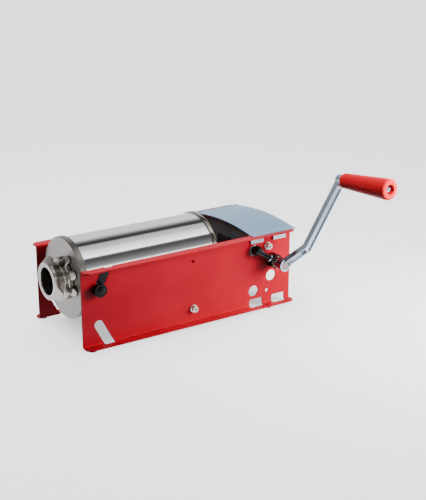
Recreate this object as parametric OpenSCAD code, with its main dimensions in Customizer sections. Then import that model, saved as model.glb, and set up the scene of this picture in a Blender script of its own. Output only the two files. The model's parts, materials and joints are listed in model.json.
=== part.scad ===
// Horizontal piston sausage stuffer: two flanged side panels carry a steel barrel, a rack and
// pinion drive under an arched cover, and a dog-leg crank. Sizes in mm, +Z up.
// Origin: centre of the outlet mouth's face; the barrel's axis runs along +X to the crank end.

/* [Frame] */
// Length of the two side panels
frame_len = 400; // [380:5:440]
// Height of the side panels
panel_h = 127; // [118:0.5:130]
// Width over the outer faces of the two webs
frame_w = 152; // [146:1:170]
// Width of the outward flanges
flange_w = 17.5; // [14:0.5:22]
// Thickness of the panel sheet
sheet_t = 2; // [1.5:0.1:2.5]
// Height of the rubber feet under the flanges
foot_h = 3; // [2:0.5:6]

/* [Barrel] */
// Outer diameter of the barrel
barrel_d = 127; // [110:1:130]
// Length of the barrel
barrel_len = 248; // [220:2:256]
// Thickness of the barrel's wall
barrel_t = 1.5; // [1:0.1:2]
// Diameter of the front lid
lid_d = 132; // [131:1:136]
// Height of the barrel's axis above the bottom of the panels
axis_h = 93; // [88:0.1:94]

/* [Outlet] */
// Diameter of the outlet's bore
outlet_d = 44; // [36:1:46]
// Distance from the mouth's face to the lid
outlet_len = 30.4; // [28:0.2:36]
// Radius of the ring nut over its lobes
ring_nut_r = 47; // [43:1:50]

/* [Drive] */
// Distance from the panels' front edge to the crank shaft
shaft_x = 360.5; // [355:0.5:370]
// Diameter of the crank shaft
shaft_d = 14; // [12:0.5:14]
// Tooth module of the pinion and rack
tooth_m = 1.5; // [1.4:0.05:1.55]
// Number of pinion teeth
pinion_teeth = 14; // [14:1:15]
// Width of the rack bar
rack_w = 12; // [10:1:14]

/* [Crank] */
// Radius of the crank, shaft axis to grip axis
crank_r = 166; // [140:2:180]
// Angle of the crank above the horizontal at rest
crank_angle = 56.7; // [40:0.1:90]
// Outward offset from the arm's eye to the long straight of the arm
crank_offset = 33; // [28:1:38]
// Length of the crank grip
grip_len = 106; // [90:1:120]
// Diameter of the crank grip at its free end
grip_d = 35.5; // [30:0.5:40]
// Outward lean of the grip from the shaft's direction
grip_lean = 5; // [0:0.5:8]

/* [Hidden] */
$fn = 64;
fit = 0.05;
gap = 0.3;
red = [0.72, 0.09, 0.11];
steel = [0.78, 0.79, 0.8];
dark_steel = [0.42, 0.42, 0.43];
zinc = [0.7, 0.72, 0.75];
black = [0.06, 0.06, 0.06];
frame_x = outlet_len - 9.9;
base_z = -axis_h;
top_z = base_z + panel_h;
web_y = frame_w / 2;
inner_y = web_y - sheet_t;
barrel_r = barrel_d / 2;
bore_r = barrel_r - barrel_t;
lid_r = lid_d / 2;
lid_t = 2.5;
lid_skirt = 10;
seal_t = 2;
barrel_x = outlet_len + lid_t + seal_t;
barrel_end = barrel_x + barrel_len;
ring_w = 8;
outlet_r = outlet_d / 2;
mouth_rim_r = outlet_r + 8.7;
mouth_ear_r = outlet_r + 18.5;
lobe_centre = 158;
neck_r = outlet_r + 4.5;
hub_r = outlet_r + 8;
hub_x = outlet_len - 8;
nut_x = outlet_len - 10.4;
slot_w = 15.5;
slot_x = frame_x + 28.9;
slot_angle = 28.2;
boss_r = slot_x - outlet_len - lid_skirt - gap;
axle_z = base_z + panel_h - 23.7;
axle_x = frame_x + shaft_x - 8;
drive_x = frame_x + shaft_x;
drive_z = base_z + panel_h - 49.2;
pinion_r = tooth_m * pinion_teeth / 2;
tooth_pitch = PI * tooth_m;
backlash = 0.2;
rack_add = 0.8 * tooth_m;
rack_ded = 1.25 * tooth_m;
rack_pitch_z = drive_z + pinion_r;
rack_top_z = rack_pitch_z + 8.4;
piston_x = outlet_len + lid_t + 8;
piston_t = 12;
piston_plate_t = 3;
rack_x = piston_x + piston_t + piston_plate_t;
rack_end = drive_x + 28;
rack_tip_z = rack_pitch_z - rack_add;
rack_mid_z = (rack_tip_z + rack_top_z) / 2;
roller_r = axle_z - rack_top_z - gap;
axle_d = 6;
tie_x = frame_x + 203.5;
tie_tube_r = 6.2;
tie_z = -barrel_r - tie_tube_r;
washer_t = 1.4;
guide_w = 24;
window_x = [316.2, 362.5];
window_w = 26.5;
window_h = 13.5;
cover_x = frame_x + 315.5;
cover_len = 88.5;
cover_rise = 6.8;
cover_t = 1.2;
cover_lip = 10.5;
clip_t = 1.5;
arch_w = inner_y + 2.5;
arch_r = (arch_w * arch_w + cover_rise * cover_rise) / (2 * cover_rise);
arch_z = top_z + cover_rise + cover_t - arch_r;
bulkhead_x = cover_x + 3;
bulkhead_t = 2.5;
bush_r = 9.5;
bush_end = web_y + 16;
lever_y = web_y + 10;
lever_r = 50;
lever_angle = 146.5;
eye_y = web_y + 34;
eye_r = 11;
eye_w = 13;
arm_t = 10;
arm_w = 14;
arm_bend_r = 41;
arm_slope = atan2(crank_offset, arm_bend_r);
pin_r = 4;
grip_start = arm_t / 2 + 2;
foot_x = [frame_x + 12, frame_x + frame_len - 52];
pressure = 20;

function involute_angle(r, base_r) = tan(acos(base_r / r)) * 180 / PI - acos(base_r / r);

// A solid of revolution about the barrel's axis from an outline of [x, radius] points.
module turned_x(outline) {
    rotate([90, 0, 90])
        rotate_extrude()
            polygon([for (p = outline) [p[1], p[0]]]);
}

// A rod along +Y between two values of y.
module rod_y(r, y0, y1) {
    translate([0, y0, 0])
        rotate([-90, 0, 0])
            cylinder(r = r, h = y1 - y0);
}

// A rod along +X between two values of x.
module rod_x(r, x0, x1) {
    translate([x0, 0, 0])
        rotate([0, 90, 0])
            cylinder(r = r, h = x1 - x0);
}

// A hexagon nut along +Y.
module hex_y(across, y0, y1) {
    translate([0, y0, 0])
        rotate([-90, 0, 0])
            cylinder(r = across / sqrt(3), h = y1 - y0, $fn = 6);
}

// Both sides of the machine.
module both_sides() {
    children();
    mirror([0, 1, 0])
        children();
}

// ---- side panels ----

module rounded_rect(w, h, r) {
    translate([r, 0])
        square([w - 2 * r, h]);
    translate([0, r])
        square([w, h - 2 * r]);
    for (x = [r, w - r], y = [r, h - r])
        translate([x, y])
            circle(r = r);
}

// The pressing's section in [y, z]: a web with two flanges folded outwards.
module channel_section() {
    bend = 1.5;
    back = 60;
    intersection() {
        translate([-web_y - flange_w, base_z])
            square([flange_w + sheet_t, panel_h]);
        difference() {
            translate([-inner_y - back, base_z])
                rounded_rect(back, panel_h, bend + sheet_t);
            translate([-web_y - back, base_z + sheet_t])
                rounded_rect(back, panel_h - 2 * sheet_t, bend);
        }
    }
}

// A window that cuts the web's foot and runs on into the flange.
module panel_window(x) {
    corner = 2;
    translate([frame_x + x, 4 - inner_y, base_z + window_h])
        rotate([90, 0, 0])
            linear_extrude(4 + sheet_t + 7)
                translate([0, -22])
                    rounded_rect(window_w, 22, corner);
}

module trunnion_slot() {
    translate([slot_x, 0, base_z + top_z])
        rod_y(slot_w / 2, -web_y - 5, -inner_y + 1);
    translate([slot_x, -web_y - 5, base_z + top_z])
        rotate([0, -slot_angle, 0])
            translate([-slot_w / 2, 0, -60])
                cube([slot_w, 5 + sheet_t + 1, 60]);
}

// Cut-outs of the lower half. One pressing serves both hands, so the upper half repeats them.
module half_cutouts() {
    trunnion_slot();
    translate([frame_x + 324.4, 0, base_z + 27.8])
        rod_y(9.5, -web_y - 1, -inner_y + 1);
    translate([drive_x, 0, base_z + top_z - drive_z])
        rod_y(bush_r, -web_y - 1, -inner_y + 1);
    translate([axle_x, 0, base_z + top_z - axle_z])
        rod_y(axle_d / 2 + fit, -web_y - 1, -inner_y + 1);
    translate([tie_x, 0, tie_z])
        rod_y(axle_d / 2 + fit, -web_y - 1, -inner_y + 1);
    for (x = window_x)
        panel_window(x);
}

module panel() {
    corner = 9;
    difference() {
        translate([frame_x, 0, 0])
            rotate([90, 0, 90])
                linear_extrude(frame_len)
                    channel_section();
        half_cutouts();
        translate([0, 0, base_z + top_z])
            mirror([0, 0, 1])
                half_cutouts();
        for (x = [frame_x, frame_x + frame_len])
            translate([x, -web_y - flange_w, 0])
                rotate([0, 0, 45])
                    cube([corner, corner, panel_h * 3], center = true);
        for (x = foot_x)
            translate([x, -web_y - flange_w / 2, base_z - 1])
                cylinder(r = 2.5, h = sheet_t + 2);
    }
}

module near_panel() {
    color(red)
        panel();
}

module far_panel() {
    color(red)
        mirror([0, 1, 0])
            panel();
}

// Four press-in feet: a pad and a stem that ends level with the flange.
module feet() {
    color(black)
        both_sides()
            for (x = foot_x)
                translate([x, -web_y - flange_w / 2, base_z - foot_h]) {
                    cylinder(r = 6, h = foot_h);
                    cylinder(r = 2.5 - fit, h = foot_h + sheet_t);
                }
}

// ---- parts that tie the panels together ----

// Wall that closes the drive housing in front, its upper edge arched to fit under the cover.
module bulkhead() {
    low = base_z + 40;
    clear = inner_y - 2 * gap - clip_t;
    color(dark_steel)
        difference() {
            union() {
                translate([bulkhead_x, 0, 0])
                    rotate([90, 0, 90])
                        linear_extrude(bulkhead_t) {
                            translate([-inner_y, low])
                                square([2 * inner_y, top_z - 16 - low]);
                            intersection() {
                                translate([0, arch_z])
                                    circle(r = arch_r - cover_t - gap, $fn = 200);
                                translate([-clear, low])
                                    square([2 * clear, panel_h]);
                            }
                        }
                both_sides()
                    translate([bulkhead_x, -inner_y, low])
                        cube([14, bulkhead_t, 30]);
            }
            translate([bulkhead_x - 1, -guide_w / 2, rack_mid_z - guide_w / 2])
                cube([bulkhead_t + 2, guide_w, guide_w]);
        }
}

// Plastic guide snapped into the cross wall; the rack slides through it.
module rack_guide() {
    lip = 5;
    color([0.9, 0.9, 0.86])
        difference() {
            union() {
                translate([bulkhead_x - 4, -guide_w / 2 - lip, rack_mid_z - guide_w / 2 - lip])
                    cube([4, guide_w + 2 * lip, guide_w + 2 * lip]);
                translate([bulkhead_x - 4, -guide_w / 2 + fit, rack_mid_z - guide_w / 2 + fit])
                    cube([12, guide_w - 2 * fit, guide_w - 2 * fit]);
            }
            translate([bulkhead_x - 5, -rack_w / 2 - gap, rack_tip_z - gap])
                cube([14, rack_w + 2 * gap, rack_top_z - rack_tip_z + 2 * gap]);
        }
}

// Spacer tube under the barrel: it ties the panels and carries the barrel's rear end.
module tie_tube() {
    color(steel)
        translate([tie_x, 0, tie_z])
            difference() {
                rod_y(tie_tube_r, -inner_y, inner_y);
                rod_y(axle_d / 2 + fit, -inner_y - 1, inner_y + 1);
            }
}

// A socket-head bolt across both panels, its head on the near side.
module cross_bolt() {
    difference() {
        rod_y(5, -web_y - washer_t - 6, -web_y - washer_t);
        hex_y(5, -web_y - washer_t - 7, -web_y - washer_t - 3);
    }
    rod_y(axle_d / 2, -web_y - washer_t, web_y + washer_t + 7);
}

module washer_pair() {
    both_sides()
        difference() {
            rod_y(6.5, -web_y - washer_t, -web_y);
            rod_y(axle_d / 2 + fit, -web_y - 2, -web_y + 1);
        }
}

module far_nut() {
    difference() {
        hex_y(10, web_y + washer_t, web_y + washer_t + 5);
        rod_y(axle_d / 2 + fit, web_y, web_y + 9);
    }
}

module tie_bolt() {
    color(steel)
        translate([tie_x, 0, tie_z])
            cross_bolt();
}

module axle_bolt() {
    color(steel)
        translate([axle_x, 0, axle_z])
            cross_bolt();
}

module washers() {
    color(zinc) {
        translate([tie_x, 0, tie_z])
            washer_pair();
        translate([axle_x, 0, axle_z])
            washer_pair();
    }
}

module nuts() {
    color(zinc) {
        translate([tie_x, 0, tie_z])
            far_nut();
        translate([axle_x, 0, axle_z])
            far_nut();
    }
}

// Spacer sleeves either side of the guide roller.
module axle_sleeves() {
    color(dark_steel)
        both_sides()
            translate([axle_x, 0, axle_z])
                difference() {
                    rod_y(5, -inner_y, -rack_w / 2 - 1.5);
                    rod_y(axle_d / 2 + fit, -inner_y - 1, 0);
                }
}

// Flanged bronze bushes for the crank shaft; the near one also carries the lock lever.
module shaft_bushes() {
    color([0.62, 0.46, 0.24])
        both_sides()
            translate([drive_x, 0, drive_z])
                difference() {
                    union() {
                        rod_y(bush_r - fit, -bush_end, -inner_y);
                        rod_y(13, -inner_y, -inner_y + 3);
                    }
                    rod_y(shaft_d / 2 + fit, -bush_end - 1, 0);
                }
}

// ---- cover over the drive ----

module cover() {
    color(zinc)
        translate([cover_x, 0, 0])
            rotate([90, 0, 90])
                linear_extrude(cover_len) {
                    intersection() {
                        translate([0, arch_z])
                            difference() {
                                circle(r = arch_r, $fn = 200);
                                circle(r = arch_r - cover_t, $fn = 200);
                            }
                        translate([-arch_w, top_z])
                            square([2 * arch_w, panel_h]);
                    }
                    for (side = [-1, 1])
                        translate([side < 0 ? -web_y - cover_lip : arch_w - 1, top_z])
                            square([web_y + cover_lip + 1 - arch_w, cover_t]);
                }
}

// Side strips under the cover that spring against the webs; their hooks catch in the upper windows.
module cover_clips() {
    hook_out = 3;
    hook_w = window_w - 2 * gap;
    root_in = 2;
    color(zinc)
        both_sides() {
            translate([cover_x + gap, -inner_y + gap, top_z - 15])
                cube([cover_len - 12, clip_t, 15.4]);
            for (x = window_x)
                translate([frame_x + x + gap, -web_y - hook_out, top_z - window_h + gap]) {
                    translate([root_in, 0, 0])
                        cube([hook_w - 2 * root_in, hook_out + sheet_t + gap + clip_t, clip_t]);
                    translate([0, 0, -1.6])
                        cube([hook_w, clip_t, 10.5]);
                }
        }
}

// ---- barrel and lid ----

module barrel() {
    color(steel)
        difference() {
            rod_x(barrel_r, barrel_x, barrel_end);
            rod_x(bore_r, barrel_x - 1, barrel_end + 1);
        }
}

// Rolled ring that stiffens the barrel's rear edge.
module rear_ring() {
    r = barrel_r + fit;
    color([0.6, 0.57, 0.52])
        turned_x([
            [barrel_end - ring_w, r], [barrel_end - ring_w, r + 0.8], [barrel_end - ring_w + 0.9, r + 1.9],
            [barrel_end - ring_w + 2.2, r + 2.2], [barrel_end - 2.2, r + 2.2], [barrel_end - 0.9, r + 1.9],
            [barrel_end, r + 0.8], [barrel_end, r]
        ]);
}

// Bosses welded to the barrel's sides, each with a shoulder for the panel's slot and a stud.
module trunnions() {
    color(steel)
        both_sides()
            difference() {
                translate([slot_x, 0, 0]) {
                    rod_y(boss_r, -inner_y + gap, -barrel_r + 4);
                    rod_y(slot_w / 2 - 0.35, -web_y, -barrel_r + 4);
                    rod_y(pin_r, -web_y - 10, -barrel_r + 4);
                }
                rod_x(barrel_r + 0.01, slot_x - 20, slot_x + 20);
            }
}

module lid() {
    color([0.66, 0.65, 0.6])
        difference() {
            turned_x([
                [outlet_len, hub_r + fit], [outlet_len, lid_r - 1], [outlet_len + 1, lid_r],
                [outlet_len + lid_skirt, lid_r], [outlet_len + lid_skirt, lid_r - 1.8],
                [outlet_len + lid_t, lid_r - 1.8], [outlet_len + lid_t, hub_r + fit]
            ]);
        }
}

module lid_seal() {
    color([0.85, 0.85, 0.82])
        difference() {
            rod_x(lid_r - 1.8 - fit, outlet_len + lid_t, barrel_x);
            rod_x(bore_r - 3, outlet_len, barrel_x + 1);
        }
}

// Spigot welded through the lid; the ring nut screws on its outside.
module outlet_hub() {
    color(steel)
        turned_x([
            [hub_x, outlet_r], [hub_x, hub_r - 1], [hub_x + 1, hub_r], [outlet_len + lid_t, hub_r],
            [outlet_len + lid_t, hub_r + 4], [outlet_len + lid_t + 2, hub_r + 4],
            [outlet_len + lid_t + 2, outlet_r]
        ]);
}

// One ear of the ring nut, pointing to +Z: a thin wing swept back from the mouth's rim.
module nut_ear() {
    intersection() {
        turned_x([
            [1.5, mouth_rim_r - 3], [1.5, mouth_rim_r - 0.3], [4, mouth_rim_r + 3],
            [7.6, mouth_ear_r - 0.8], [8.8, mouth_ear_r], [10, mouth_ear_r - 0.4],
            [10.8, mouth_ear_r - 2], [8, mouth_rim_r + 1.4], [6.5, mouth_rim_r - 2.2],
            [6.5, mouth_rim_r - 3]
        ]);
        rotate([90, 0, 90])
            linear_extrude(12)
                polygon([
                    [-15, 0], [-15, mouth_rim_r - 3.5], [-8, mouth_ear_r + 1],
                    [8, mouth_ear_r + 1], [15, mouth_rim_r - 3.5], [15, 0]
                ]);
    }
}

// Cast ring nut: round mouth with three ears, waisted neck, and lobes in two groups of three.
module ring_nut() {
    lobe_r = 7.5;
    color(steel)
        difference() {
            union() {
                turned_x([
                    [0, outlet_r - 1], [0, mouth_rim_r - 1], [1, mouth_rim_r], [4, mouth_rim_r],
                    [8, mouth_rim_r - 0.6], [11, mouth_rim_r - 1.7], [14, neck_r + 1.3],
                    [17, neck_r + 0.3], [19.2, neck_r], [20.4, neck_r + 1.2], [21.4, hub_r + 2],
                    [23, hub_r + 3.4], [29, hub_r + 3.4], [29, outlet_r - 1]
                ]);
                for (k = [0:2])
                    rotate([120 * k - 2, 0, 0])
                        nut_ear();
                intersection() {
                    turned_x([
                        [nut_x, 0], [nut_x, neck_r + 0.6], [nut_x + 1.5, neck_r + 5],
                        [nut_x + 4.5, ring_nut_r - 7], [nut_x + 7.5, ring_nut_r - 2],
                        [nut_x + 8.7, ring_nut_r], [outlet_len - gap - 0.8, ring_nut_r],
                        [outlet_len - gap, ring_nut_r - 0.8], [outlet_len - gap, 0]
                    ]);
                    rotate([90, 0, 90])
                        linear_extrude(outlet_len) {
                            circle(r = hub_r + 4);
                            for (side = [0, 180], k = [-1, 0, 1])
                                rotate(lobe_centre + side + 40 * k) {
                                    translate([ring_nut_r - lobe_r, 0])
                                        circle(r = lobe_r);
                                    translate([0, 0.8 - lobe_r])
                                        square([ring_nut_r - lobe_r, 2 * lobe_r - 1.6]);
                                }
                        }
                }
            }
            rod_x(outlet_r, -1, hub_x);
            rod_x(hub_r + gap, hub_x - gap, outlet_len);
        }
}

// ---- clamping knobs ----

// Local frame of a knob: the stud's axis at the web's face, outwards along -Y.
module knob_body() {
    difference() {
        union() {
            rod_y(8, -4, -0.4);
            rod_y(10.6, -10.5, -4);
            intersection() {
                rod_y(10.6, -14, -10.5);
                translate([0, -3.4, 0])
                    sphere(r = 10.6);
            }
        }
        rod_y(6, -11, 0);
    }
}

module knob_insert() {
    difference() {
        rod_y(6 - fit, -11, -0.4);
        rod_y(pin_r + fit, -10.5, 0);
    }
}

module knob_near() {
    color(black)
        translate([slot_x, -web_y, 0])
            knob_body();
}

module knob_far() {
    color(black)
        mirror([0, 1, 0])
            translate([slot_x, -web_y, 0])
                knob_body();
}

module insert_near() {
    color([0.75, 0.6, 0.3])
        translate([slot_x, -web_y, 0])
            knob_insert();
}

module insert_far() {
    color([0.75, 0.6, 0.3])
        mirror([0, 1, 0])
            translate([slot_x, -web_y, 0])
                knob_insert();
}

// ---- piston and rack ----

module piston() {
    edge = bore_r - gap - 0.3;
    color([0.93, 0.93, 0.9])
        difference() {
            turned_x([
                [piston_x, 0], [piston_x, edge - 1], [piston_x + 1, edge], [piston_x + 4, edge],
                [piston_x + 4, edge - 4], [piston_x + 8, edge - 4], [piston_x + 8, edge],
                [piston_x + piston_t, edge], [piston_x + piston_t, 0]
            ]);
            translate([0, 0, rack_mid_z]) {
                rod_x(8, piston_x - 1, piston_x + 5);
                rod_x(axle_d / 2 + fit, piston_x, piston_x + piston_t + 1);
            }
        }
}

module piston_seal() {
    edge = bore_r - gap - 0.3;
    color([0.8, 0.8, 0.76])
        difference() {
            rod_x(bore_r - gap, piston_x + 4 + fit, piston_x + 8 - fit);
            rod_x(edge - 4 + fit, piston_x, piston_x + 9);
        }
}

module piston_plate() {
    color(steel)
        translate([0, 0, rack_mid_z])
            difference() {
                rod_x(30, piston_x + piston_t, rack_x);
                rod_x(axle_d / 2 + fit, piston_x, rack_x + 1);
            }
}

module piston_screw() {
    color(steel)
        translate([0, 0, rack_mid_z]) {
            rod_x(7, piston_x + 1, piston_x + 5);
            rod_x(axle_d / 2, piston_x + 1, rack_x + 16);
        }
}

// Rack bar with its teeth downwards; the first part is left plain for the piston's screw.
module rack() {
    half = (tooth_pitch / 2 - backlash) / 2;
    tip = half - rack_add * tan(pressure);
    root = half + rack_ded * tan(pressure);
    root_z = rack_pitch_z + rack_ded;
    first = ceil((rack_x + 24 - drive_x) / tooth_pitch);
    last = floor((rack_end - 10 - drive_x) / tooth_pitch);
    color(dark_steel)
        difference() {
            rotate([90, 0, 0])
                linear_extrude(rack_w, center = true)
                    polygon(concat(
                        [[rack_end, rack_tip_z], [rack_end, rack_top_z], [rack_x, rack_top_z], [rack_x, rack_tip_z]],
                        [for (k = [first : last], p = [
                            [k * tooth_pitch - tooth_pitch / 2 + tip, rack_tip_z],
                            [k * tooth_pitch - tooth_pitch / 2 + root, root_z],
                            [k * tooth_pitch + tooth_pitch / 2 - root, root_z],
                            [k * tooth_pitch + tooth_pitch / 2 - tip, rack_tip_z]
                        ]) [drive_x + p[0], p[1]]]
                    ));
            translate([0, 0, rack_mid_z])
                rod_x(axle_d / 2 + fit, rack_x - 1, rack_x + 17);
            translate([rack_end - 5, 0, rack_mid_z])
                rod_y(2, -rack_w, rack_w);
        }
}

// Cross pin that stops the rack before it leaves the pinion.
module rack_stop() {
    color(steel)
        translate([rack_end - 5, 0, rack_mid_z])
            rod_y(2 - fit, -rack_w / 2 - 4, rack_w / 2 + 4);
}

module guide_roller() {
    color(steel)
        translate([axle_x, 0, axle_z])
            difference() {
                rod_y(roller_r, -rack_w / 2 - 1, rack_w / 2 + 1);
                rod_y(axle_d / 2 + fit, -rack_w, rack_w);
            }
}

// ---- crank shaft ----

module crank_shaft() {
    color(steel)
        translate([drive_x, 0, drive_z])
            difference() {
                union() {
                    rod_y(shaft_d / 2, -eye_y - eye_w / 2 + 0.5, web_y + 21);
                    rod_y(shaft_d / 2 - 1, -eye_y - eye_w / 2, web_y + 22);
                }
                rod_z(1.5 + fit, 12);
            }
}

// A rod along +Z through the shaft's axis, at the pinion's hub.
module rod_z(r, reach) {
    translate([0, 10.5, -reach])
        cylinder(r = r, h = 2 * reach);
}

// One flank's points of a pinion tooth, from the root circle to the tip.
function flank(side) =
    let (
        base_r = pinion_r * cos(pressure),
        half = (tooth_pitch / 2 - backlash) / 2 / pinion_r * 180 / PI,
        shift = half + involute_angle(pinion_r, base_r)
    )
    [for (r = [pinion_r - 1.65, base_r, base_r + 0.35, base_r + 0.9, base_r + 1.5, pinion_r + tooth_m])
        let (a = shift - involute_angle(max(r, base_r), base_r))
        [r, side * a]];

module pinion() {
    points = [for (k = [0 : pinion_teeth - 1])
        each concat(
            [for (p = flank(-1)) [p[0], p[1] + k * 360 / pinion_teeth]],
            [for (i = [5 : -1 : 0]) let (p = flank(1)[i]) [p[0], p[1] + k * 360 / pinion_teeth]]
        )];
    color(dark_steel)
        translate([drive_x, 0, drive_z])
            difference() {
                union() {
                    rotate([90, 0, 0])
                        linear_extrude(rack_w + 3, center = true)
                            polygon([for (p = points) [p[0] * sin(p[1]), p[0] * cos(p[1])]]);
                    rod_y(8.6, -13, 13);
                }
                rod_y(shaft_d / 2 + fit, -20, 20);
                rod_z(1.5 + fit, 12);
            }
}

module pinion_pin() {
    color(steel)
        translate([drive_x, 0, drive_z])
            rod_z(1.5, 8.4);
}

// Sleeves that hold the pinion in the middle of the shaft.
module shaft_sleeves() {
    color(dark_steel)
        both_sides()
            translate([drive_x, 0, drive_z])
                difference() {
                    rod_y(9.4, -inner_y + 3 + gap, -13);
                    rod_y(shaft_d / 2 + fit, -inner_y, 0);
                }
}

module shaft_clip() {
    color(dark_steel)
        translate([drive_x, 0, drive_z])
            difference() {
                rod_y(10, bush_end + gap, bush_end + 1.5);
                rod_y(shaft_d / 2 + fit, bush_end, bush_end + 3);
            }
}

// ---- crank ----

// Local frame of the crank: +X radial, +Y outwards from the panel, at the eye's centre.
module crank_frame() {
    translate([drive_x, -eye_y, drive_z])
        rotate([0, -crank_angle, 0])
            rotate([180, 0, 0])
                children();
}

// Local frame of the grip: +Y along the grip's pin, at the middle of the arm's thickness.
module grip_frame() {
    crank_frame()
        translate([crank_r, crank_offset, 0])
            rotate([0, 0, -grip_lean])
                children();
}

module arm_side() {
    half = arm_t / 2;
    miter = half / cos(arm_slope / 2);
    bend = [arm_bend_r, crank_offset];
    turn = arm_slope / 2 + 90;
    polygon([
        half * [cos(arm_slope + 90), sin(arm_slope + 90)],
        bend + miter * [cos(turn), sin(turn)],
        [crank_r, crank_offset + half],
        [crank_r, crank_offset - half],
        bend - miter * [cos(turn), sin(turn)],
        -half * [cos(arm_slope + 90), sin(arm_slope + 90)]
    ]);
}

module crank_arm() {
    groove = arm_w - 5;
    depth = 3;
    long = crank_r - arm_bend_r - 18;
    short = norm([arm_bend_r, crank_offset]) - eye_r - 6;
    color(zinc)
        crank_frame()
            difference() {
                union() {
                    linear_extrude(arm_w, center = true)
                        arm_side();
                    rod_y(eye_r, -eye_w / 2, eye_w / 2);
                    rod_y(8.6, -eye_w / 2 - 9, 0);
                    translate([crank_r, crank_offset, 0])
                        rotate([0, 0, -grip_lean])
                            rod_y(9, -arm_t / 2 - 1.2, arm_t / 2 + 1);
                }
                for (side = [-1, 1]) {
                    translate([arm_bend_r + 5, crank_offset + side * arm_t / 2, 0])
                        cube([2 * long, 2 * depth, groove], center = true);
                    rotate([0, 0, arm_slope])
                        translate([eye_r + 3 + short / 2, side * arm_t / 2, 0])
                            cube([short, 2 * depth, groove], center = true);
                }
                rod_y(shaft_d / 2 + fit, -30, 30);
                translate([crank_r, crank_offset, 0])
                    rotate([0, 0, -grip_lean])
                        rod_y(pin_r + fit, -20, 20);
                translate([0, -eye_w / 2 - 5, 0])
                    rod_x(2.5 + fit, -12, 0);
            }
}

// Grub screw that pins the eye to the shaft.
module crank_screw() {
    color(dark_steel)
        crank_frame()
            translate([0, -eye_w / 2 - 5, 0])
                rod_x(2.5, -9.4, -shaft_d / 2 - fit);
}

// Grip pin: riveted behind the arm, with a domed head in the grip's recess.
module grip_pin() {
    end = grip_start + grip_len - 6;
    color(steel)
        grip_frame() {
            rod_y(pin_r, -arm_t / 2 - 3, end);
            rod_y(6.5, -arm_t / 2 - 3.2, -arm_t / 2 - 1.2);
            intersection() {
                rod_y(6.75, end, end + 4);
                translate([0, end - 4, 0])
                    sphere(r = 8);
            }
        }
}

module grip() {
    free = grip_start + grip_len;
    r = grip_d / 2;
    color(red)
        grip_frame()
            difference() {
                rotate([-90, 0, 0])
                    rotate_extrude()
                        polygon([
                            [0, grip_start], [11, grip_start], [12.1, grip_start + 1], [12.6, grip_start + 3],
                            [r - 0.5, free - 6], [r - 0.4, free - 4], [r - 1.2, free - 2], [r - 2.6, free - 0.8],
                            [r - 4.5, free], [0, free]
                        ]);
                rod_y(pin_r + 2 * fit, grip_start - 1, free + 1);
                rod_y(8, free - 6.3, free + 1);
            }
}

// ---- lock lever ----

module lever_frame() {
    translate([drive_x, -lever_y, drive_z])
        rotate([0, -lever_angle, 0])
            children();
}

// Collar that turns on the near bush, with a short rod for the grip.
module lever_collar() {
    color(dark_steel)
        difference() {
            union() {
                translate([drive_x, 0, drive_z])
                    rod_y(12, -bush_end + 0.5, -web_y - 0.8);
                lever_frame()
                    rod_x(3, 10, lever_r - 8);
            }
            translate([drive_x, 0, drive_z])
                rod_y(bush_r, -bush_end - 1, -web_y + 1);
        }
}

module lever_ring() {
    color(steel)
        lever_frame()
            difference() {
                rod_x(7, 13, 15.5);
                rod_x(3 + fit, 12, 17);
            }
}

module lever_grip() {
    color(black)
        lever_frame()
            rotate([90, 0, 90])
                rotate_extrude()
                    polygon([
                        [3 + fit, 15.5], [5, 15.5], [4.6, 22], [5, 29], [6.4, 36], [7.8, 41], [8.5, 45],
                        [8.2, 48], [7, 50], [0, 50.6], [0, lever_r - 7.9], [3 + fit, lever_r - 7.9]
                    ]);
}

near_panel();
far_panel();
feet();
bulkhead();
rack_guide();
tie_tube();
tie_bolt();
axle_bolt();
washers();
nuts();
axle_sleeves();
shaft_bushes();
cover();
cover_clips();
barrel();
rear_ring();
trunnions();
lid();
lid_seal();
outlet_hub();
ring_nut();
knob_near();
knob_far();
insert_near();
insert_far();
piston();
piston_seal();
piston_plate();
piston_screw();
rack();
rack_stop();
guide_roller();
crank_shaft();
pinion();
pinion_pin();
shaft_sleeves();
shaft_clip();
crank_arm();
crank_screw();
grip_pin();
grip();
lever_collar();
lever_ring();
lever_grip();
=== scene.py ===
import json
from math import cos, pi, radians, sin

import bpy
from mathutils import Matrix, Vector

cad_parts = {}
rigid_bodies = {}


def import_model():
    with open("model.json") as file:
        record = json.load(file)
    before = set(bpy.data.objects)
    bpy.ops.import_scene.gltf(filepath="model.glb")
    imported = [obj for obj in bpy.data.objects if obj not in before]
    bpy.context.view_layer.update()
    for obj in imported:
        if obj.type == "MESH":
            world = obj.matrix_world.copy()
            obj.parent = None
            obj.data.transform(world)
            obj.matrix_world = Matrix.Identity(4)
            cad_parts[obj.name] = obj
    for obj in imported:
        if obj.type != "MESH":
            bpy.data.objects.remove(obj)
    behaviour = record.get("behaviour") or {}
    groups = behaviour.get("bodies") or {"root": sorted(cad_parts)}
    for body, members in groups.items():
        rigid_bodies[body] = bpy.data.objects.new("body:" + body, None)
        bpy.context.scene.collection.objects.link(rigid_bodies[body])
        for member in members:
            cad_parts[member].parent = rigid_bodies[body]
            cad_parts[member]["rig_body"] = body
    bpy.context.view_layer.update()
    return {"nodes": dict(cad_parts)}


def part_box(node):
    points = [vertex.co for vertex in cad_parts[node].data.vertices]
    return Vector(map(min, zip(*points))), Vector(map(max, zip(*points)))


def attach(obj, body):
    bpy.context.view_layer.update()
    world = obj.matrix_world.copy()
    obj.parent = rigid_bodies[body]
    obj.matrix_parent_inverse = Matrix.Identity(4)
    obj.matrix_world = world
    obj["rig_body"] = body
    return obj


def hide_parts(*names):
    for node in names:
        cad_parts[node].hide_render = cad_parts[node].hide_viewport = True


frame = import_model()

# ---- light, floor and camera ----
# A pale table in a white room. Two dark gaps between the overhead light and the walls
# draw the long dark bands along the polished barrel.

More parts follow.
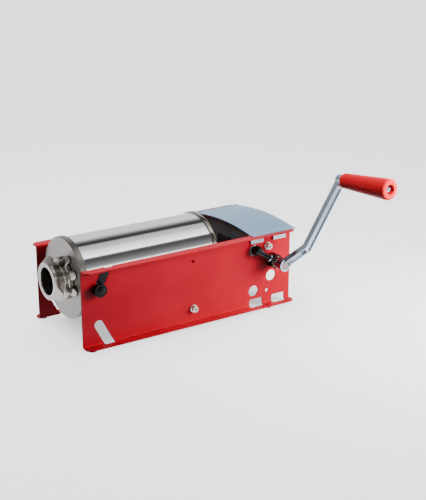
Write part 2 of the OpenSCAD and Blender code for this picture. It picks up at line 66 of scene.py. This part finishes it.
EYE = (-0.7436, -1.5516, 0.6201)
LOOK = (0.5343, 0.7836, -0.3170)
LENS = 83.6
FLOOR_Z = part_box("feet")[0][2]
FLOOR_SIZE = 60
FLOOR_GLOW = 4.45
# A painted shadow on the floor under the object, a darker patch in the floor's glow: its depth,
# its soft edge and, for the x and the y axis, its centre and half width.
FLOOR_SHADOW_DEPTH = -3.1
FLOOR_SHADOW_EDGE = 0.075
FLOOR_SHADOW_AREA = ((0, 0.23, 0.15), (1, 0.0, 0.045))
# How bright the room is beyond the mouth and beyond the crank.
MOUTH_END_GLOW = 2.0
CRANK_END_GLOW = 5.5
# The room's grey by angle round the x axis: 0 at the far wall, 90 overhead, 180 at the near wall.
ROOM_BANDS = (
    (-180, 0.3), (-20, 0.25), (20, 0.25), (44, 0.27),
    (52, 0.18), (58, 0.07), (64, 0.02), (73, 0.012), (75.5, 0.04),
    (78, 0.15), (90, 0.20), (113, 0.55), (117, 0.60),
    (120, 0.03), (127, 0.02), (137, 0.045), (147, 0.085),
    (150, 0.3), (153, 0.75), (163, 0.8), (167, 0.2), (180, 0.15))


def shader_tree(owner):
    """Empties owner's node tree and returns it."""
    owner.use_nodes = True
    owner.node_tree.nodes.clear()
    return owner.node_tree


def add(tree, kind, **values):
    """Adds a node; a value goes to the input socket or the property of that name."""
    made = tree.nodes.new(kind)
    for key, value in values.items():
        name = key.replace("_", " ").title().replace("Ior", "IOR")
        if name not in made.inputs:
            setattr(made, key, value)
        elif isinstance(value, bpy.types.NodeSocket):
            tree.links.new(value, made.inputs[name])
        else:
            made.inputs[name].default_value = value
    return made


def maths(tree, operation, first, second=0.0):
    """A Math node's result; each operand is a number or a socket."""
    made = tree.nodes.new("ShaderNodeMath")
    made.operation = operation
    for place, value in enumerate((first, second)):
        if isinstance(value, bpy.types.NodeSocket):
            tree.links.new(value, made.inputs[place])
        else:
            made.inputs[place].default_value = value
    return made.outputs[0]


def ramp(tree, source, stops):
    """A colour ramp with (place, grey or colour) stops; returns its colour."""
    made = tree.nodes.new("ShaderNodeValToRGB")
    tree.links.new(source, made.inputs[0])
    elements = made.color_ramp.elements
    while len(elements) < len(stops):
        elements.new(0.5)
    for element, (place, tone) in zip(elements, stops):
        element.position = place
        element.color = (*tone, 1) if isinstance(tone, tuple) else (tone, tone, tone, 1)
    return made.outputs[0]


def room():
    world = bpy.data.worlds.new("room")
    bpy.context.scene.world = world
    tree = shader_tree(world)
    direction = add(tree, "ShaderNodeTexCoord").outputs["Generated"]
    parts = tree.nodes.new("ShaderNodeSeparateXYZ")
    tree.links.new(direction, parts.inputs[0])
    turn = maths(tree, "ARCTAN2", parts.outputs[2], parts.outputs[1])
    round_x = maths(tree, "DIVIDE", maths(tree, "ADD", turn, pi), 2 * pi)
    bands = ramp(tree, round_x, [((degrees + 180) / 360, grey) for degrees, grey in ROOM_BANDS])
    side = add(tree, "ShaderNodeMapRange", from_min=-0.8, from_max=0.8,
               to_min=MOUTH_END_GLOW, to_max=CRANK_END_GLOW)
    tree.links.new(parts.outputs[0], side.inputs["Value"])
    glow = add(tree, "ShaderNodeBackground", color=bands, strength=side.outputs[0])
    out = tree.nodes.new("ShaderNodeOutputWorld")
    tree.links.new(glow.outputs[0], out.inputs[0])
    world.cycles_visibility.diffuse = False


def soft_light(name, place, aim, size, power):
    bpy.ops.object.light_add(type="AREA", location=place)
    lamp = bpy.context.object
    lamp.name = name
    lamp.data.shape = "SQUARE"
    lamp.data.size = size
    lamp.data.energy = power
    lamp.visible_glossy = False
    lamp.rotation_euler = (Vector(aim) - Vector(place)).to_track_quat("-Z", "Y").to_euler()


def floor():
    bpy.ops.mesh.primitive_plane_add(size=FLOOR_SIZE, location=(0, 0, FLOOR_Z))
    plane = bpy.context.object
    plane.name = "floor"
    material = bpy.data.materials.new("pale_table")
    tree = shader_tree(material)
    where = add(tree, "ShaderNodeTexCoord").outputs["Object"]
    grain = add(tree, "ShaderNodeTexNoise", vector=where, scale=40.0, detail=4.0)
    tone = ramp(tree, grain.outputs["Fac"], [(0.3, (0.45, 0.455, 0.465)), (0.7, (0.46, 0.465, 0.475))])
    place = tree.nodes.new("ShaderNodeSeparateXYZ")
    tree.links.new(where, place.inputs[0])
    shade = 1.0
    # Painted shadow: the floor's glow drops inside a soft patch under the object.
    for axis, centre, half in FLOOR_SHADOW_AREA:
        away = maths(tree, "ABSOLUTE", maths(tree, "SUBTRACT", place.outputs[axis], centre))
        edge = add(tree, "ShaderNodeMapRange", from_min=half, from_max=half + FLOOR_SHADOW_EDGE,
                   to_min=1.0, to_max=0.0)
        edge.interpolation_type = "SMOOTHSTEP"
        tree.links.new(away, edge.inputs["Value"])
        shade = maths(tree, "MULTIPLY", edge.outputs[0], shade)
    glow = maths(tree, "MULTIPLY_ADD", shade, FLOOR_SHADOW_DEPTH)
    glow.node.inputs[2].default_value = FLOOR_GLOW
    board = add(tree, "ShaderNodeBsdfPrincipled", base_color=tone, roughness=0.7, specular_ior_level=0.1,
                emission_color=tone, emission_strength=glow)
    out = tree.nodes.new("ShaderNodeOutputMaterial")
    tree.links.new(board.outputs[0], out.inputs[0])
    plane.data.materials.append(material)
    plane.visible_diffuse = False


room()
floor()
soft_light("key", (0.70, -0.46, 0.18), (0.30, -0.08, -0.03), 0.4, 8.6)
soft_light("top", (0.22, 0.35, 1.10), (0.22, 0.0, 0.0), 0.9, 17)
soft_light("front", (0.60, -1.30, 0.05), (0.30, 0.0, 0.0), 0.9, 1.2)

bpy.ops.object.camera_add(location=EYE)
camera = bpy.context.object
camera.rotation_euler = Vector(LOOK).to_track_quat("-Z", "Y").to_euler()
camera.data.sensor_width = 36
camera.data.lens = LENS
camera.data.clip_end = 100
bpy.context.scene.camera = camera

# ---- side panels ----
# Two mirrored channel pressings of 2 mm steel sheet, flanges folded outwards, stoved red enamel.
# The cut-outs repeat top and bottom because one pressing serves both hands.


def detail_group():
    """Shared surface detail: soft clouds, fine grain and hair scratches from object coordinates."""
    group = bpy.data.node_groups.new("surface_detail", "ShaderNodeTree")
    group.interface.new_socket("Stretch", in_out="INPUT", socket_type="NodeSocketVector")
    for name in ("Cloud", "Grain", "Scratch"):
        group.interface.new_socket(name, in_out="OUTPUT", socket_type="NodeSocketFloat")
    entry = group.nodes.new("NodeGroupInput")
    leave = group.nodes.new("NodeGroupOutput")
    where = group.nodes.new("ShaderNodeTexCoord").outputs["Object"]
    cloud = add(group, "ShaderNodeTexNoise", vector=where, scale=14.0, detail=5.0)
    pulled = group.nodes.new("ShaderNodeVectorMath")
    pulled.operation = "MULTIPLY"
    group.links.new(where, pulled.inputs[0])
    group.links.new(entry.outputs["Stretch"], pulled.inputs[1])
    grain = add(group, "ShaderNodeTexNoise", vector=pulled.outputs[0], scale=900.0, detail=3.0)
    cells = add(group, "ShaderNodeTexVoronoi", vector=pulled.outputs[0], scale=90.0)
    cells.feature = "DISTANCE_TO_EDGE"
    hair = maths(group, "LESS_THAN", cells.outputs["Distance"], 0.006)
    broken = maths(group, "GREATER_THAN", cloud.outputs["Fac"], 0.56)
    group.links.new(cloud.outputs["Fac"], leave.inputs["Cloud"])
    group.links.new(grain.outputs["Fac"], leave.inputs["Grain"])
    group.links.new(maths(group, "MULTIPLY", hair, broken), leave.inputs["Scratch"])
    return group


DETAIL = detail_group()


def finish(name, tones, rough, metallic=0.0, stretch=(1, 1, 1), bump=0.05, scratch=0.15, **more):
    """A worn finish: tones are the two ends of its colour, rough the two ends of its roughness."""
    material = bpy.data.materials.new(name)
    tree = shader_tree(material)
    detail = tree.nodes.new("ShaderNodeGroup")
    detail.node_tree = DETAIL
    detail.inputs["Stretch"].default_value = stretch
    colour = ramp(tree, detail.outputs["Cloud"], [(0.35, tones[0]), (0.65, tones[1])])
    spread = add(tree, "ShaderNodeMapRange", to_min=rough[0], to_max=rough[1])
    tree.links.new(detail.outputs["Cloud"], spread.inputs["Value"])
    spread.inputs["From Min"].default_value = 0.3
    spread.inputs["From Max"].default_value = 0.7
    dull = maths(tree, "ADD", spread.outputs[0], maths(tree, "MULTIPLY", detail.outputs["Scratch"], scratch))
    height = maths(tree, "SUBTRACT", detail.outputs["Grain"], detail.outputs["Scratch"])
    relief = add(tree, "ShaderNodeBump", strength=bump, distance=0.0002, height=height)
    skin = add(tree, "ShaderNodeBsdfPrincipled", base_color=colour, roughness=dull, normal=relief.outputs[0],
               metallic=metallic, **more)
    out = tree.nodes.new("ShaderNodeOutputMaterial")
    tree.links.new(skin.outputs[0], out.inputs[0])
    return material


def pick(piece):
    """Makes piece the only selected and active object."""
    bpy.ops.object.select_all(action="DESELECT")
    piece.select_set(True)
    bpy.context.view_layer.objects.active = piece


def paint(piece, material):
    piece.data.materials.clear()
    piece.data.materials.append(material)


def softened(node, material, width=0.0, angle=30):
    """A merged copy of a construction piece, its sharp edges rounded to width."""
    source = frame["nodes"][node]
    pick(source)
    bpy.ops.object.duplicate()
    piece = bpy.context.object
    piece.name = node + "_skin"
    piece.parent = None
    for key in list(piece.keys()):
        del piece[key]
    bpy.ops.object.mode_set(mode="EDIT")
    bpy.ops.mesh.select_all(action="SELECT")
    bpy.ops.mesh.remove_doubles(threshold=1e-6)
    bpy.ops.mesh.dissolve_limited(angle_limit=radians(0.5))
    bpy.ops.mesh.normals_make_consistent(inside=False)
    bpy.ops.object.mode_set(mode="OBJECT")
    if piece.data.has_custom_normals:
        bpy.ops.mesh.customdata_custom_splitnormals_clear()
    if width:
        bevel = piece.modifiers.new("edge", "BEVEL")
        bevel.width = width
        bevel.segments = 3
        bevel.limit_method = "ANGLE"
        bevel.angle_limit = radians(angle)
        flat = piece.modifiers.new("flat", "WEIGHTED_NORMAL")
        flat.keep_sharp = True
        bpy.ops.object.modifier_apply(modifier="edge")
    bpy.ops.object.shade_smooth_by_angle(angle=radians(angle))
    if width:
        bpy.ops.object.modifier_apply(modifier="flat")
    paint(piece, material)
    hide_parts(node)
    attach(piece, frame["nodes"][node]["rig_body"])
    return piece


ENAMEL = finish("red_enamel", ((0.56, 0.003, 0.020), (0.64, 0.004, 0.025)), (0.36, 0.44), bump=0.10,
                specular_ior_level=0.10)
for node in ("near_panel", "far_panel"):
    softened(node, ENAMEL, 0.0004)

# ---- feet ----
# Moulded black rubber pads, each with a stem pushed into a hole in a bottom flange.
# They carry the machine and keep it from sliding.

RUBBER = finish("foot_rubber", ((0.010, 0.010, 0.010), (0.022, 0.021, 0.020)), (0.55, 0.75), bump=0.3)
softened("feet", RUBBER, 0.0006)

# ---- tie tube and through bolts ----
# Zinc-plated socket-head bolts with washers and nuts, which tie the two panels together.
# The lower bolt runs in a drawn steel tube that carries the barrel.

PLATED = finish("zinc_plate", ((0.46, 0.42, 0.37), (0.60, 0.57, 0.52)), (0.16, 0.28), 1.0, bump=0.06)
TUBE = finish("drawn_tube", ((0.40, 0.40, 0.41), (0.50, 0.50, 0.51)), (0.22, 0.34), 1.0, (1, 0.1, 1))
for node in ("tie_bolt", "axle_bolt", "washers", "nuts"):
    softened(node, PLATED, 0.0003)
softened("tie_tube", TUBE, 0.0003)

# ---- drive inside the housing ----
# Rack, pinion, roller and sleeves of dark oiled steel, on a shaft that turns in bronze bushes.
# A black plastic guide in the painted housing wall keeps the rack straight; the wall's dark grey is also
# painted shade for the deep gap under the cover.

OILED = finish("oiled_steel", ((0.07, 0.068, 0.066), (0.13, 0.125, 0.12)), (0.24, 0.4), 1.0, bump=0.12)
BRONZE = finish("bush_bronze", ((0.15, 0.095, 0.08), (0.20, 0.13, 0.11)), (0.28, 0.4), 1.0)
GUIDE = finish("guide_plastic", ((0.03, 0.03, 0.03), (0.045, 0.043, 0.04)), (0.4, 0.5), bump=0.1)
# Painted shade: the housing wall is darkened to stand for the deep shade in the gap under the cover.
HOUSING_WALL_AND_SHADE = finish("housing_wall_and_shade", ((0.16, 0.19, 0.20), (0.21, 0.24, 0.25)), (0.45, 0.55), bump=0.12)
for node in ("rack", "rack_stop", "pinion", "pinion_pin", "shaft_sleeves", "shaft_clip", "axle_sleeves",
             "guide_roller"):
    softened(node, OILED)
softened("shaft_bushes", BRONZE, 0.0003)
softened("rack_guide", GUIDE, 0.0005)
softened("bulkhead", HOUSING_WALL_AND_SHADE, 0.0003)

# ---- piston ----
# White food-grade plastic disc with a soft seal in its edge.
# A satin steel plate and a screw clamp it to the rack.

PLASTIC = finish("piston_plastic", ((0.70, 0.69, 0.64), (0.77, 0.76, 0.71)), (0.35, 0.5), bump=0.1)
SEAL = finish("seal_rubber", ((0.52, 0.51, 0.47), (0.60, 0.58, 0.54)), (0.5, 0.65), bump=0.15)
SATIN = finish("satin_steel", ((0.44, 0.43, 0.40), (0.54, 0.53, 0.50)), (0.28, 0.38), 1.0, (0.1, 1, 1))
softened("piston", PLASTIC, 0.0006)
softened("piston_seal", SEAL, 0.0003)
softened("piston_plate", SATIN, 0.0004)
softened("piston_screw", SATIN, 0.0003)

# ---- barrel ----
# Rolled and polished stainless tube. A rolled ring stiffens its open end.
# Two welded bosses with studs hold it in the panels' slots.

MIRROR = finish("polished_steel", ((0.74, 0.75, 0.77), (0.80, 0.81, 0.83)), (0.035, 0.07), 1.0,
                (1, 0.04, 0.04), bump=0.012, scratch=0.05)
RING = finish("rolled_ring", ((0.30, 0.26, 0.22), (0.42, 0.38, 0.33)), (0.10, 0.18), 1.0, bump=0.03)
softened("barrel", MIRROR, 0.0002)
softened("rear_ring", RING, 0.0003, 50)
softened("trunnions", OILED, 0.0003)

# ---- lid ----
# Spun stainless disc with a turned skirt and a satin face, over a soft seal on the barrel's edge.
# The outlet's hub is welded through it.

FACE = finish("spun_face", ((0.165, 0.155, 0.14), (0.215, 0.20, 0.185)), (0.30, 0.38), 1.0,
              (0.2, 1, 1), bump=0.05)
softened("lid", FACE, 0.0004)
softened("lid_seal", SEAL)
softened("outlet_hub", FACE, 0.0003)

# ---- ring nut ----
# One heavy casting, ground and chrome plated: round mouth, waisted neck, three swept-back
# ears and two groups of three lobes to turn it by. It holds the stuffing tube on the lid's hub.


def cast(node, material, voxel, rounds):
    """A copy of a construction piece with the soft edges and fillets of a casting."""
    piece = softened(node, material)
    pick(piece)
    remesh = piece.modifiers.new("skin", "REMESH")
    remesh.mode = "VOXEL"
    remesh.voxel_size = voxel
    smooth = piece.modifiers.new("fillet", "SMOOTH")
    smooth.iterations = rounds
    bpy.ops.object.modifier_apply(modifier="skin")
    bpy.ops.object.modifier_apply(modifier="fillet")
    bpy.ops.object.shade_smooth()
    return piece


CHROME = finish("cast_chrome", ((0.26, 0.24, 0.215), (0.34, 0.32, 0.29)), (0.18, 0.28), 1.0, bump=0.05)
cast("ring_nut", CHROME, 0.0008, 14)

# ---- clamping knobs ----
# Black phenolic knobs moulded round brass inserts.
# They clamp the barrel's studs in the panels' slots.

BLACK = finish("phenolic", ((0.004, 0.004, 0.005), (0.008, 0.008, 0.009)), (0.12, 0.22), bump=0.04,
               specular_ior_level=0.1)
BRASS = finish("insert_brass", ((0.50, 0.36, 0.14), (0.60, 0.45, 0.19)), (0.2, 0.3), 1.0)
for side in ("near", "far"):
    softened("knob_" + side, BLACK, 0.0012)
    softened("insert_" + side, BRASS)

# ---- slot shade strips ----
# Black strips in the sloping slots above the studs: painted shade for the dark inside seen through the
# slots.
# Each lies in its panel's thickness and leans with the slot.

SLOT_LEAN = radians(28.2)
SHADE_STRIP_REACH = 0.022
SHADE_STRIP_SIZE = (0.0138, 0.0016, 0.0255)
SHADE_STRIP_EDGE = 0.0005
HALF_SHEET = 0.001


def slot_shade_strip(side, knob, web_y):
    low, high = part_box(knob)
    x = (low[0] + high[0]) / 2 + SHADE_STRIP_REACH * sin(SLOT_LEAN)
    z = (low[2] + high[2]) / 2 + SHADE_STRIP_REACH * cos(SLOT_LEAN)
    bpy.ops.mesh.primitive_cube_add(size=1, rotation=(0, SLOT_LEAN, 0), location=(x, web_y, z))
    strip = bpy.context.object
    strip.name = "slot_shade_strip_" + side
    strip.scale = SHADE_STRIP_SIZE
    bpy.ops.object.transform_apply(location=True, rotation=True, scale=True)
    bevel = strip.modifiers.new("edge", "BEVEL")
    bevel.width = SHADE_STRIP_EDGE
    bevel.segments = 3
    bpy.ops.object.modifier_apply(modifier="edge")
    bpy.ops.object.shade_smooth_by_angle(angle=radians(30))
    # Painted shade: the strip is black to stand for the dark inside of the slot.
    paint(strip, BLACK)
    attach(strip, "frame")


slot_shade_strip("near", "knob_near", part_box("near_panel")[1][1] - HALF_SHEET)
slot_shade_strip("far", "knob_far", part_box("far_panel")[0][1] + HALF_SHEET)

# ---- cover ----
# Arched stainless sheet with flat lips that lie on the panels' flanges.
# Two sprung strips under it hook into the upper windows and hold it down.

SHEET = finish("cover_sheet", ((0.28, 0.46, 0.66), (0.36, 0.55, 0.76)), (0.34, 0.42), 0.85,
               (0.05, 1, 1), bump=0.06)
STRIP = finish("spring_strip", ((0.36, 0.37, 0.43), (0.44, 0.45, 0.51)), (0.34, 0.42), 0.6,
               (0.05, 1, 1), bump=0.06)
softened("cover", SHEET, 0.0003)
softened("cover_clips", STRIP, 0.0003)

# ---- crank ----
# A plated zinc casting with a groove along each face, fixed to the ground shaft by a grub screw.
# The red plastic grip turns on a steel pin with a domed head.

PLATING = finish("crank_plating", ((0.27, 0.33, 0.40), (0.36, 0.42, 0.49)), (0.14, 0.24), 1.0, bump=0.05)
# Painted reflection: the shaft's reddish grey stands for the red panels mirrored in the ground steel.
STEEL_AND_RED_REFLECTION = finish("ground_steel_red_reflection", ((0.20, 0.15, 0.15), (0.28, 0.22, 0.22)), (0.3, 0.4), 1.0,
                (1, 0.1, 1), bump=0.08)
RED = finish("red_plastic", ((0.90, 0.005, 0.018), (0.97, 0.009, 0.024)), (0.36, 0.46), bump=0.06,
             specular_ior_level=0.06)
cast("crank_arm", PLATING, 0.0006, 4)
softened("crank_screw", OILED)
softened("crank_shaft", STEEL_AND_RED_REFLECTION, 0.0003)
softened("grip_pin", PLATING, 0.0003)
softened("grip", RED, 0.0008, 25)

# ---- lock lever ----
# A turned collar on the near bush carries a short rod with a plated ring and a flared grip.
# Collar and grip are black plastic.

softened("lever_collar", BLACK, 0.0004)
softened("lever_ring", PLATING, 0.0003)
softened("lever_grip", BLACK, 0.0004)
